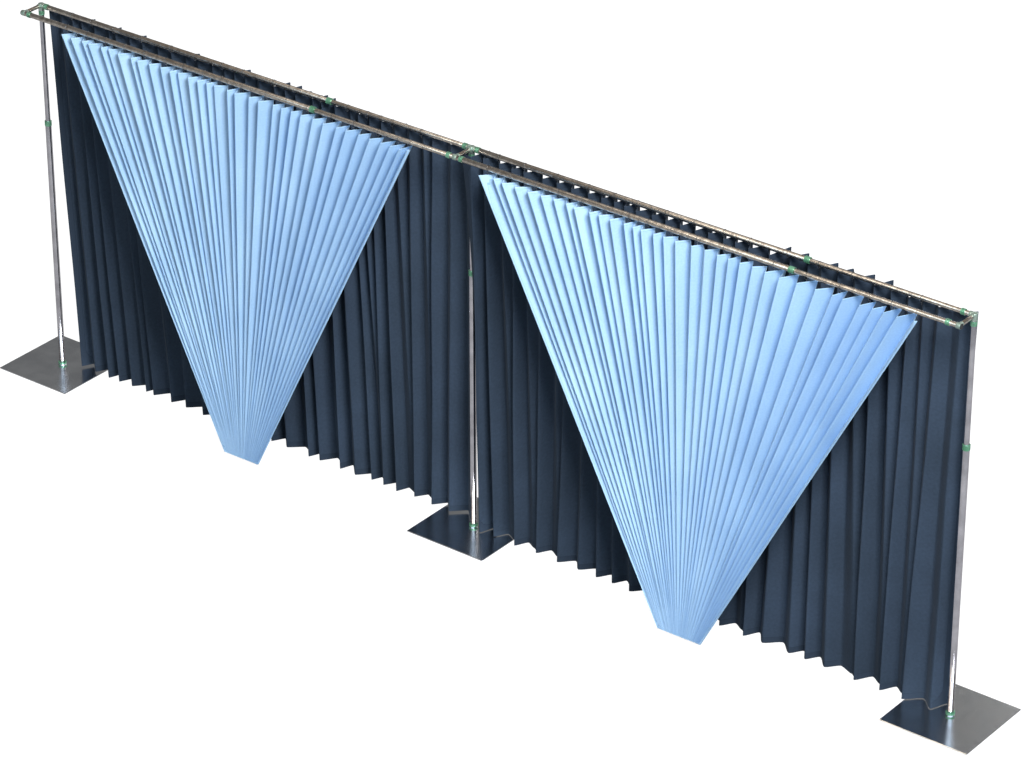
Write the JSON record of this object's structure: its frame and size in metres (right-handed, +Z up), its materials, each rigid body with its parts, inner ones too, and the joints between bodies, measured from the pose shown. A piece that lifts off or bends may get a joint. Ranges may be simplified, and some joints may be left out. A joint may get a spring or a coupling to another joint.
{
  "type": "pipe-and-drape screen",
  "caption": "Free-standing screen: telescopic stands on flat base plates carry a double top rail, from which full-length drapes and fan-shaped swags hang.",
  "frame": {"origin": "on the floor under the middle stand's axis, the centre of the bounding box's bottom", "axes": "+X along the rails to the right-hand stand, -Y to the side where the swags hang, +Z up"},
  "size_m": [7.94, 0.62, 2.7518],
  "materials": {
    "chromed_tube": "bright chromed steel tube",
    "plate_steel": "dark polished steel plate, faint hammered sheen",
    "green_collar": "satin green anodised collar",
    "black_cap": "matt black plug",
    "drape_cloth": "dark slate-navy matt woven drape",
    "swag_cloth": "light blue fine woven cloth, pleated",
    "heading_tape": "woven heading tape with small wire rings"
  },
  "bodies": {
    "left_stand": {"base_plate_left": "plate_steel", "base_spigot_left": "chromed_tube", "lower_tube_left": "chromed_tube", "base_ring_left": "green_collar"},
    "left_lock": {"lock_collar_left": "green_collar"},
    "left_head": {"upper_tube_left": "chromed_tube", "head_hub_left": "chromed_tube", "cross_tube_left": "chromed_tube", "front_elbow_left": "chromed_tube", "head_ring_left": "green_collar", "front_cap_left": "black_cap", "back_rail_outer_left": "chromed_tube", "back_rail_first_ring_left": "green_collar", "front_rail_outer_left": "chromed_tube", "front_rail_first_ring_left": "green_collar", "drape_left": "drape_cloth", "swag_left": "swag_cloth", "drape_tape_left": "heading_tape", "swag_tape_left": "heading_tape"},
    "middle_stand": {"base_plate_middle": "plate_steel", "base_spigot_middle": "chromed_tube", "lower_tube_middle": "chromed_tube", "base_ring_middle": "green_collar"},
    "middle_lock": {"lock_collar_middle": "green_collar"},
    "middle_head": {"upper_tube_middle": "chromed_tube", "head_hub_middle": "chromed_tube", "cross_tube_middle": "chromed_tube", "front_tee_middle": "chromed_tube", "head_ring_middle": "green_collar", "back_rail_inner_left": "chromed_tube", "back_rail_last_ring_left": "green_collar", "front_rail_inner_left": "chromed_tube", "front_rail_last_ring_left": "green_collar", "back_rail_outer_right": "chromed_tube", "back_rail_first_ring_right": "green_collar", "front_rail_outer_right": "chromed_tube", "front_rail_first_ring_right": "green_collar", "drape_right": "drape_cloth", "swag_right": "swag_cloth", "drape_tape_right": "heading_tape", "swag_tape_right": "heading_tape"},
    "right_stand": {"base_plate_right": "plate_steel", "base_spigot_right": "chromed_tube", "lower_tube_right": "chromed_tube", "base_ring_right": "green_collar"},
    "right_lock": {"lock_collar_right": "green_collar"},
    "right_head": {"upper_tube_right": "chromed_tube", "head_hub_right": "chromed_tube", "cross_tube_right": "chromed_tube", "front_elbow_right": "chromed_tube", "head_ring_right": "green_collar", "front_cap_right": "black_cap", "back_rail_inner_right": "chromed_tube", "back_rail_last_ring_right": "green_collar", "front_rail_inner_right": "chromed_tube", "front_rail_last_ring_right": "green_collar"},
    "back_rail_lock_body_left": {"back_rail_lock_left": "green_collar"},
    "front_rail_lock_body_left": {"front_rail_lock_left": "green_collar"},
    "back_rail_lock_body_right": {"back_rail_lock_right": "green_collar"},
    "front_rail_lock_body_right": {"front_rail_lock_right": "green_collar"}
  },
  "joints": [
    {"name": "screen_height", "type": "slide", "parent": "left_stand", "child": "left_head", "axis": [0, 0, 1], "range_m": [0, 0.3]},
    {"name": "middle_stand_drop", "type": "slide", "parent": "middle_head", "child": "middle_stand", "axis": [0, 0, -1], "range_m": [0, 0.3]},
    {"name": "right_stand_drop", "type": "slide", "parent": "right_head", "child": "right_stand", "axis": [0, 0, -1], "range_m": [0, 0.3]},
    {"name": "left_bay_width", "type": "slide", "parent": "left_head", "child": "middle_head", "axis": [1, 0, 0], "range_m": [-1, 0.5], "deforming": ["drape_left", "swag_left", "drape_tape_left", "swag_tape_left"]},
    {"name": "right_bay_width", "type": "slide", "parent": "middle_head", "child": "right_head", "axis": [1, 0, 0], "range_m": [-1, 0.5], "deforming": ["drape_right", "swag_right", "drape_tape_right", "swag_tape_right"]},
    {"name": "left_lock_twist", "type": "hinge", "parent": "left_stand", "child": "left_lock", "pos_m": [-3.66, 0, 1.865], "axis": [0, 0, 1], "range_deg": [0, 60]},
    {"name": "middle_lock_twist", "type": "hinge", "parent": "middle_stand", "child": "middle_lock", "pos_m": [0, 0, 1.865], "axis": [0, 0, 1], "range_deg": [0, 60]},
    {"name": "right_lock_twist", "type": "hinge", "parent": "right_stand", "child": "right_lock", "pos_m": [3.66, 0, 1.865], "axis": [0, 0, 1], "range_deg": [0, 60]},
    {"name": "back_rail_lock_twist_left", "type": "hinge", "parent": "left_head", "child": "back_rail_lock_body_left", "pos_m": [-1.146, 0, 2.73], "axis": [1, 0, 0], "range_deg": [0, 60]},
    {"name": "front_rail_lock_twist_left", "type": "hinge", "parent": "left_head", "child": "front_rail_lock_body_left", "pos_m": [-1.146, -0.165, 2.73], "axis": [1, 0, 0], "range_deg": [0, 60]},
    {"name": "back_rail_lock_twist_right", "type": "hinge", "parent": "middle_head", "child": "back_rail_lock_body_right", "pos_m": [2.514, 0, 2.73], "axis": [1, 0, 0], "range_deg": [0, 60]},
    {"name": "front_rail_lock_twist_right", "type": "hinge", "parent": "middle_head", "child": "front_rail_lock_body_right", "pos_m": [2.514, -0.165, 2.73], "axis": [1, 0, 0], "range_deg": [0, 60]}
  ],
  "couplings": [
    {"joint": "middle_stand_drop", "follows": "screen_height", "ratio": 1},
    {"joint": "right_stand_drop", "follows": "screen_height", "ratio": 1}
  ]
}
